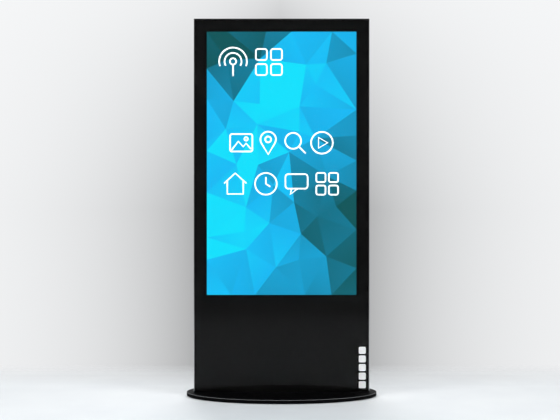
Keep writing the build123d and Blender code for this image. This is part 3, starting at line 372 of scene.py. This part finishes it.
def ring_slab(outer, inner, front, back):
    """A flat rectangular ring across the tower. outer and inner are x0, x1, z0, z1."""
    bm = bmesh.new()
    loops = []
    for x0, x1, z0, z1 in (outer, inner):
        for y in (front, back):
            corners = ((x0, z0), (x1, z0), (x1, z1), (x0, z1))
            loops.append([bm.verts.new((x, y, z)) for x, z in corners])
    outer_front, outer_back, inner_front, inner_back = loops
    for i in range(4):
        j = (i + 1) % 4
        bm.faces.new((outer_front[i], outer_front[j], inner_front[j], inner_front[i]))
        bm.faces.new((outer_back[i], outer_back[j], inner_back[j], inner_back[i]))
        bm.faces.new((outer_front[i], outer_front[j], outer_back[j], outer_back[i]))
        bm.faces.new((inner_front[i], inner_front[j], inner_back[j], inner_back[i]))
    return bm


# ------------------------------------------------------------------ front glass and its print
GLASS_EDGE = 0.0006
PRINT_GAP = 0.0001
PRINT_FRONT = glass_high.y + PRINT_GAP


def make_glass():
    bm = bmesh.new()
    bmesh.ops.create_cube(bm, size=1)
    size = glass_high - glass_low
    bmesh.ops.scale(bm, vec=size, verts=bm.verts)
    bmesh.ops.translate(bm, vec=(glass_low + glass_high) / 2, verts=bm.verts)
    bmesh.ops.bevel(
        bm, geom=bm.edges, offset=GLASS_EDGE, segments=2, affect="EDGES", profile=0.7
    )
    made = piece_from(bm, "glass_sheet", looks["clear_glass"])
    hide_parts("front_glass", "touch_foil")


def make_print():
    outer = (mask_low.x, mask_high.x, mask_low.z, mask_high.z)
    inner = (-PICTURE_X, PICTURE_X, PICTURE_LOW, PICTURE_HIGH)
    bm = ring_slab(outer, inner, PRINT_FRONT, mask_high.y)
    made = piece_from(bm, "glass_print", looks["black_print"])
    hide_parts("glass_mask")


make_glass()
make_print()

# ------------------------------------------------------------------ the picture on the display
PICTURE_FRONT = cell_low.y - 0.0006
PICTURE_BLEED = 0.0012  # reaches under the print, so that no gap shows
PICTURE_DEPTH = 0.0004
COLUMNS, ROWS = 5, 8  # of the points that the facets hang on
JITTER = 0.42  # of a column or a row
SHADES = [  # dark to bright
    linear(19, 88, 92),
    linear(24, 120, 146),
    linear(27, 158, 205),
    linear(27, 188, 248),
    linear(21, 226, 255),
]


def shade(level):
    """The palette at a level from 0 to 1."""
    place = min(max(level, 0.0), 1.0) * (len(SHADES) - 1)
    first = min(int(place), len(SHADES) - 2)
    share = place - first
    return tuple(a + (b - a) * share for a, b in zip(SHADES[first], SHADES[first + 1]))


BASE_GLOW = 0.47
GLOWS = (  # strength, then the middle and the reach across, then the same upwards
    (0.60, 0.52, 0.36, 0.76, 0.20),
    (0.56, 0.12, 0.40, 0.30, 0.36),
    (-0.78, 0.08, 0.34, 0.96, 0.17),
    (-0.40, 0.95, 0.40, 0.26, 0.28),
)


def glow_level(u, v):
    """How bright the picture is at u across and v up, each from 0 to 1."""
    level = BASE_GLOW
    for strength, middle_u, reach_u, middle_v, reach_v in GLOWS:
        away = -((u - middle_u) / reach_u) ** 2 - ((v - middle_v) / reach_v) ** 2
        level += strength * math.exp(away)
    return level


def make_picture():
    draw = random.Random(58)
    x0, x1 = -PICTURE_X - PICTURE_BLEED, PICTURE_X + PICTURE_BLEED
    z0, z1 = PICTURE_LOW - PICTURE_BLEED, PICTURE_HIGH + PICTURE_BLEED
    points = []
    for i in range(COLUMNS + 1):
        for j in range(ROWS + 1):
            u, v = i / COLUMNS, j / ROWS
            if 0 < i < COLUMNS:
                u += draw.uniform(-JITTER, JITTER) / COLUMNS
            if 0 < j < ROWS:
                v += draw.uniform(-JITTER, JITTER) / ROWS
            points.append(Vector((x0 + (x1 - x0) * u, z0 + (z1 - z0) * v)))
    flat, _, faces, *_ = geometry.delaunay_2d_cdt(points, [], [], 0, 1e-6)
    bm = bmesh.new()
    tone = bm.loops.layers.float_color.new("tone")
    front = [bm.verts.new((p.x, PICTURE_FRONT, p.y)) for p in flat]
    for triangle in faces:
        face = bm.faces.new([front[k] for k in triangle])
        middle = face.calc_center_median()
        level = glow_level((middle.x - x0) / (x1 - x0), (middle.z - z0) / (z1 - z0))
        level += draw.uniform(-0.2, 0.2)
        slope = draw.uniform(0.25, 0.75)
        turn = draw.uniform(0, 2 * math.pi)
        lean = Vector((math.cos(turn), 0, math.sin(turn))) * slope
        for loop in face.loops:
            loop[tone] = shade(level + lean.dot(loop.vert.co - middle))
    edges = [e for e in bm.edges if e.is_boundary]
    made = bmesh.ops.extrude_edge_only(bm, edges=edges)
    rim = [v for v in made["geom"] if isinstance(v, bmesh.types.BMVert)]
    bmesh.ops.translate(bm, vec=(0, PICTURE_DEPTH, 0), verts=rim)
    bmesh.ops.contextual_create(bm, geom=[e for e in bm.edges if e.is_boundary])
    piece_from(bm, "screen_picture", lit_picture("screen_picture"))


make_picture()

# Plain pictograms instead of lettering. Each is drawn in a square from -0.5 to 0.5.
STROKE = 0.0038  # half the width of a line
ICON_FRONT = PICTURE_FRONT - 0.0002
ICON_FLAT = 0.04  # how much of their depth the round strokes keep
CAP_WELD = 1e-6  # joins the strokes' end caps to their tubes, so that their normals agree


def arc(x, z, radius, start=0, end=360, steps=28):
    turn = [math.radians(start + (end - start) * i / steps) for i in range(steps + 1)]
    return [(x + radius * math.cos(t), z + radius * math.sin(t)) for t in turn]


def rounded(x0, x1, z0, z1, radius):
    """The outline of a rectangle with round corners, closed onto its first point."""
    corners = (
        (x1 - radius, z1 - radius),
        (x0 + radius, z1 - radius),
        (x0 + radius, z0 + radius),
        (x1 - radius, z0 + radius),
    )
    line = []
    for quarter, (x, z) in enumerate(corners):
        line += arc(x, z, radius, 90 * quarter, 90 * quarter + 90, 6)
    return line + line[:1]


ICONS = {
    "touch": [
        arc(0, 0.02, 0.10),
        arc(0, 0.02, 0.27, -30, 210),
        arc(0, 0.02, 0.44, -20, 200),
        [(0, -0.1), (0, -0.45)],
    ],
    "tiles": [
        rounded(a, a + 0.38, b, b + 0.38, 0.08) for a in (-0.45, 0.07) for b in (-0.45, 0.07)
    ],
    "frame": [
        rounded(-0.46, 0.46, -0.36, 0.36, 0.08),
        [(-0.4, -0.3), (-0.12, 0.06), (0.08, -0.16), (0.2, -0.02), (0.4, -0.26)],
        arc(0.2, 0.16, 0.07),
    ],
    "pin": [
        arc(0, 0.14, 0.32, -32, 212) + [(0, -0.48), (0.2714, -0.0296)],
        arc(0, 0.14, 0.12),
    ],
    "lens": [arc(-0.08, 0.08, 0.33), [(0.16, -0.16), (0.44, -0.44)]],
    "play": [arc(0, 0, 0.45), [(-0.14, -0.22), (0.24, 0), (-0.14, 0.22), (-0.14, -0.22)]],
    "house": [
        [(-0.46, 0.02), (0, 0.44), (0.46, 0.02)],
        [(-0.33, 0.1), (-0.33, -0.42), (0.33, -0.42), (0.33, 0.1)],
    ],
    "clock": [arc(0, 0, 0.45), [(0, 0.28), (0, 0), (0.18, -0.12)]],
    "bubble": [
        rounded(-0.46, 0.46, -0.2, 0.4, 0.12),
        [(-0.2, -0.2), (-0.26, -0.44), (0.04, -0.2)],
    ],
}
ICON_SIZE = 0.118
ICON_ROWS = (  # names, how far across the first is, the step, how far up, scale
    (("touch",), 0.175, 0, 0.885, 1.3),
    (("tiles",), 0.415, 0, 0.885, 1.2),
    (("frame", "pin", "lens", "play"), 0.23, 0.18, 0.578, 1.0),
    (("house", "clock", "bubble", "tiles"), 0.19, 0.205, 0.422, 1.0),
)


def stroke_mesh(name, lines, half_width):
    """Lines as round strokes in one mesh."""
    curve = bpy.data.curves.new(name, "CURVE")
    curve.dimensions = "3D"
    curve.bevel_depth = half_width
    curve.bevel_resolution = 3
    curve.use_fill_caps = True
    for line in lines:
        spline = curve.splines.new("POLY")
        closed = math.dist(line[0], line[-1]) < 1e-6
        points = line[:-1] if closed else line
        spline.points.add(len(points) - 1)
        for point, (x, z) in zip(spline.points, points):
            point.co = (x, 0, z, 1)
        spline.use_cyclic_u = closed
    holder = bpy.data.objects.new(name + "_line", curve)
    bpy.context.scene.collection.objects.link(holder)
    bpy.context.view_layer.update()
    evaluated = holder.evaluated_get(bpy.context.evaluated_depsgraph_get())
    mesh = bpy.data.meshes.new_from_object(evaluated)
    bpy.data.objects.remove(holder)
    return mesh


def make_icons():
    """The pictograms, pressed flat against the picture."""
    width = 2 * PICTURE_X
    height = PICTURE_HIGH - PICTURE_LOW
    lines = []
    for names, first, step, v, scale in ICON_ROWS:
        for i, name in enumerate(names):
            x = -PICTURE_X + width * (first + step * i)
            z = PICTURE_LOW + height * v
            for line in ICONS[name]:
                lines.append(
                    [(x + a * ICON_SIZE * scale, z + b * ICON_SIZE * scale) for a, b in line]
                )
    mesh = stroke_mesh("screen_icons", lines, STROKE)
    bm = bmesh.new()
    bm.from_mesh(mesh)
    bpy.data.meshes.remove(mesh)
    bmesh.ops.remove_doubles(bm, verts=bm.verts, dist=CAP_WELD)
    bmesh.ops.scale(bm, vec=(1, ICON_FLAT, 1), verts=bm.verts)
    bmesh.ops.translate(bm, vec=(0, ICON_FRONT, 0), verts=bm.verts)
    piece_from(bm, "screen_icons", white_ink("icon_white", 0.85))


make_icons()


MARK_HALF = 0.017
MARK_PITCH = 0.042
MARK_CORNER = 0.006
MARK_COUNT = 5
MARK_INSET = 0.032  # from the glass's right edge to the middle of the row
MARK_LIFT = 0.034  # from its lower edge to the middle of the first square
MARK_FRONT = glass_high.y + 0.00002
MARK_DEPTH = 0.00005


def make_mark():
    """A plain row of rounded squares printed low on the right of the glass, glowing faintly with
    painted light.
    """
    x = glass_high.x - MARK_INSET
    lowest = glass_low.z + MARK_LIFT
    bm = bmesh.new()
    for i in range(MARK_COUNT):
        z = lowest + MARK_PITCH * i
        square = (x - MARK_HALF, x + MARK_HALF, z - MARK_HALF, z + MARK_HALF)
        outline = rounded(*square, MARK_CORNER)[:-1]
        face = bm.faces.new([bm.verts.new((a, MARK_FRONT, b)) for a, b in outline])
        made = bmesh.ops.extrude_face_region(bm, geom=[face])
        back = [v for v in made["geom"] if isinstance(v, bmesh.types.BMVert)]
        bmesh.ops.translate(bm, vec=(0, MARK_DEPTH, 0), verts=back)
    # Painted light: the printed mark glows faintly, though nothing lights it from behind.
    piece_from(bm, "printed_mark", white_ink("mark_white_painted_glow", 0.25))


make_mark()

# ------------------------------------------------------------------ plugs and clips on the leads inside
SIDE_X, SIDE_Y, SIDE_Z = Vector((1, 0, 0)), Vector((0, 1, 0)), Vector((0, 0, 1))
PLUG_LENGTH = 0.0125
PLUG_GAP = 0.0002  # from the box that a plug goes into
PLUG_CORNER = 0.0018
RIB_COUNT = 8
RIB_STEP = 0.00102
RIB_TAPER = 0.00008  # each rib is smaller than the one before it
CLIP_HALF = 0.0072
CLIP_HEIGHT = 0.010
CLIP_DEPTH = 0.0098  # half of it
CLIP_GAP = 0.0001
CLIPS_BELOW = (0.097, 0.039)  # the power supply
MAINS_IN = 0.020  # from the power supply's -X side to where the lead enters it
CHAMFER = 0.0008


def moulding(bm, sections, start, side, across, along):
    """A closed solid through rounded sections: half width, half depth, corner, distance."""
    loops = []
    for half_a, half_b, corner, far in sections:
        outline = rounded(-half_a, half_a, -half_b, half_b, corner)[:-1]
        middle = start + along * far
        loops.append([bm.verts.new(middle + side * a + across * b) for a, b in outline])
    for lower, upper in zip(loops, loops[1:]):
        for i in range(len(lower)):
            j = (i + 1) % len(lower)
            bm.faces.new((lower[i], lower[j], upper[j], upper[i]))
    bm.faces.new(loops[0])
    bm.faces.new(loops[-1])


def plug_sections(half_a, half_b, radius):
    """A chamfered grip and then a ribbed sleeve that lets the lead bend."""
    sections = [
        (half_a - CHAMFER, half_b - CHAMFER, 0.0012, PLUG_GAP),
        (half_a, half_b, PLUG_CORNER, PLUG_GAP + CHAMFER),
        (half_a, half_b, PLUG_CORNER, PLUG_LENGTH - CHAMFER),
        (half_a - CHAMFER, half_b - CHAMFER, 0.0012, PLUG_LENGTH),
    ]
    for i in range(RIB_COUNT):
        half = radius + (0.0016, 0.0008)[i % 2] - RIB_TAPER * i
        sections.append((half, half, 0.88 * half, PLUG_LENGTH + RIB_STEP * (i + 0.5)))
    return sections


def make_plugs():
    """A plug on each lead, where it goes into a box or the touch controller."""
    psu_low, psu_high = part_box("psu_case")
    player_low, player_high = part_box("media_player")
    plate_back = psu_low.y  # the power supply stands on the plate's back
    board_low, board_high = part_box("touch_controller")
    board_z = (board_low.z + board_high.z) / 2
    bm = bmesh.new()
    mains = Vector((psu_low.x + MAINS_IN, plate_back + 0.015, psu_low.z))
    fans = Vector((psu_low.x + 0.025, plate_back + 0.015, psu_high.z))
    display = Vector((player_low.x + 0.105, plate_back + 0.013, player_high.z))
    touch = Vector((board_low.x, plate_back + 0.008, board_z))
    moulding(bm, plug_sections(0.0085, 0.0062, 0.0035), mains, SIDE_X, SIDE_Y, -SIDE_Z)
    moulding(bm, plug_sections(0.0078, 0.0055, 0.0030), fans, SIDE_X, SIDE_Y, SIDE_Z)
    moulding(bm, plug_sections(0.0105, 0.0052, 0.0030), display, SIDE_X, SIDE_Y, SIDE_Z)
    moulding(bm, plug_sections(0.0034, 0.0052, 0.0020), touch, SIDE_Y, SIDE_Z, -SIDE_X)
    piece_from(bm, "lead_plugs", looks["plastic_black"])


def make_clips():
    """Two clips that hold the mains lead to the equipment plate."""
    psu_low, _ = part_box("psu_case")
    middle = psu_low.y + CLIP_GAP + CLIP_DEPTH
    small = (CLIP_HALF - CHAMFER, CLIP_DEPTH - CHAMFER, 0.0022)
    full = (CLIP_HALF, CLIP_DEPTH, 0.003)
    sections = [
        (*small, 0),
        (*full, CHAMFER),
        (*full, CLIP_HEIGHT - CHAMFER),
        (*small, CLIP_HEIGHT),
    ]
    bm = bmesh.new()
    for below in CLIPS_BELOW:
        start = Vector((psu_low.x + MAINS_IN, middle, psu_low.z - below))
        moulding(bm, sections, start, SIDE_X, SIDE_Y, SIDE_Z)
    piece_from(bm, "lead_clips", looks["white_sheet"])


make_plugs()
make_clips()

# ------------------------------------------------------------------ stage and light
FLOOR_HALF = 4.5
FADE_START = 2.9  # the paper melts into the background between these distances
FADE_END = 4.4
REAR_START = 0.25  # and sooner behind the kiosk
REAR_END = 0.95
GLOSS_START = 3.0  # reflections see a dim studio beyond the paper
GLOSS_END = 4.4


def melt(made):
    """How far the paper lets the background through, towards its edges."""
    path = made.node("ShaderNodeLightPath").outputs
    place = made.node("ShaderNodeSeparateXYZ")
    made.join(made.coords, place.inputs["Vector"])
    away = made.node("ShaderNodeVectorMath", operation="LENGTH")
    made.join(made.coords, away.inputs[0])
    distance = away.outputs["Value"]
    rear = made.spread(place.outputs["Y"], 0, 1, REAR_START, REAR_END)
    far = made.math("MAXIMUM", made.spread(distance, 0, 1, FADE_START, FADE_END), rear)
    seen = made.math("MULTIPLY", far, path["Is Camera Ray"])
    gloss = made.spread(distance, 0, 1, GLOSS_START, GLOSS_END)
    return made.math("MAXIMUM", seen, made.math("MULTIPLY", gloss, path["Is Glossy Ray"]))


def make_stage():
    """A pale paper floor."""
    bm = bmesh.new()
    corners = ((-1, -1), (1, -1), (1, 1), (-1, 1))
    bm.faces.new([bm.verts.new((x * FLOOR_HALF, y * FLOOR_HALF, 0)) for x, y in corners])
    mesh = bpy.data.meshes.new("floor")
    bm.to_mesh(mesh)
    bm.free()
    floor = bpy.data.objects.new("floor", mesh)
    bpy.context.scene.collection.objects.link(floor)
    made = Surface("paper", Specular_IOR_Level=0.2)
    made.colour(made.noise(3, 2), linear(226, 230, 233), linear(231, 235, 237))
    made.roughness(made.noise(30, 3), 0.55, 0.65)
    clear = made.node("ShaderNodeBsdfTransparent")
    mixed = made.node("ShaderNodeMixShader")
    made.join(melt(made), mixed.inputs["Fac"])
    made.join(made.shader.outputs["BSDF"], mixed.inputs[1])
    made.join(clear.outputs["BSDF"], mixed.inputs[2])
    made.join(mixed.outputs["Shader"], made.tree.nodes["Material Output"].inputs["Surface"])
    mesh.materials.append(made.material)


def soft_box(name, place, aim, width, height, power):
    """A rectangular studio light that faces a point."""
    lamp = bpy.data.lights.new(name, "AREA")
    lamp.shape = "RECTANGLE"
    lamp.size = width
    lamp.size_y = height
    lamp.energy = power
    holder = bpy.data.objects.new(name, lamp)
    holder.location = place
    direction = Vector(aim) - Vector(place)
    holder.rotation_euler = direction.to_track_quat("-Z", "Y").to_euler()
    bpy.context.scene.collection.objects.link(holder)


PAINTED_SHADOW_PEAK = 1.3
PAINTED_SHADOW_FALL = -10.4  # how fast the painted shadow fades sideways
PAINTED_SHADOW_TOP = 0.26  # the height of the view direction where it ends
PAINTED_SHADOW_LIMIT = 0.55
BACKDROP = (0.93, 0.94, 0.95, 1)
ROOM_TINT = (0.97, 0.98, 1.0, 1)
ROOM_FRONT, ROOM_REAR = 0.16, 0.6  # the room's strength towards -Y and +Y


def make_world():
    """A pale backdrop with a painted shadow, a soft grey halo towards +Y, in front of a dimmer room."""
    world = bpy.data.worlds.new("studio")
    world.use_nodes = True
    bpy.context.scene.world = world
    made = Graph(world.node_tree)
    way = made.node("ShaderNodeSeparateXYZ")
    made.join(made.node("ShaderNodeTexCoord").outputs["Generated"], way.inputs["Vector"])
    # Painted shadow: the backdrop that the camera sees darkens beside and below the view towards +Y,
    # where the kiosk's soft shadow on a wall would fall.
    aside = made.math("ABSOLUTE", way.outputs["X"])
    near = made.math("EXPONENT", made.math("MULTIPLY", aside, PAINTED_SHADOW_FALL))
    lower = made.spread(way.outputs["Z"], PAINTED_SHADOW_PEAK, 0, 0, PAINTED_SHADOW_TOP)
    ahead = made.spread(way.outputs["Y"], 0, 1, 0.5, 0.9)
    painted_shadow = made.math("MULTIPLY", made.math("MULTIPLY", near, lower), ahead)
    tone = made.node("ShaderNodeMix", data_type="RGBA")
    tone.inputs[6].default_value = BACKDROP
    tone.inputs[7].default_value = (0, 0, 0, 1)
    made.join(made.math("MINIMUM", painted_shadow, PAINTED_SHADOW_LIMIT), tone.inputs["Factor"])
    room = made.tree.nodes["Background"]
    room.inputs["Color"].default_value = ROOM_TINT
    power = made.spread(way.outputs["Y"], ROOM_FRONT, ROOM_REAR, -0.1, 0.6)
    made.join(power, room.inputs["Strength"])
    seen = made.node("ShaderNodeBackground")
    made.join(tone.outputs[2], seen.inputs["Color"])
    path = made.node("ShaderNodeLightPath")
    mixed = made.node("ShaderNodeMixShader")
    made.join(path.outputs["Is Camera Ray"], mixed.inputs["Fac"])
    made.join(room.outputs["Background"], mixed.inputs[1])
    made.join(seen.outputs["Background"], mixed.inputs[2])
    made.join(mixed.outputs["Shader"], made.tree.nodes["World Output"].inputs["Surface"])


make_stage()
make_world()
soft_box("top_box", (0, -1.6, 3.9), (0, -0.6, 0), 4.0, 3.0, 56)
soft_box("front_box", (0, -4.6, 3.9), (0, -4.2, 0), 4.0, 2.4, 48)
soft_box("left_box", (-3.4, -2.2, 2.3), (-0.9, 0.9, 1.2), 1.6, 2.6, 78)
soft_box("right_box", (3.4, -2.2, 2.3), (0.9, 0.9, 1.2), 1.6, 2.6, 78)
soft_box("back_box", (-0.3, 3.6, 3.0), (0, 0, 0.9), 2.8, 2.0, 80)
bpy.context.scene.view_settings.view_transform = "Standard"
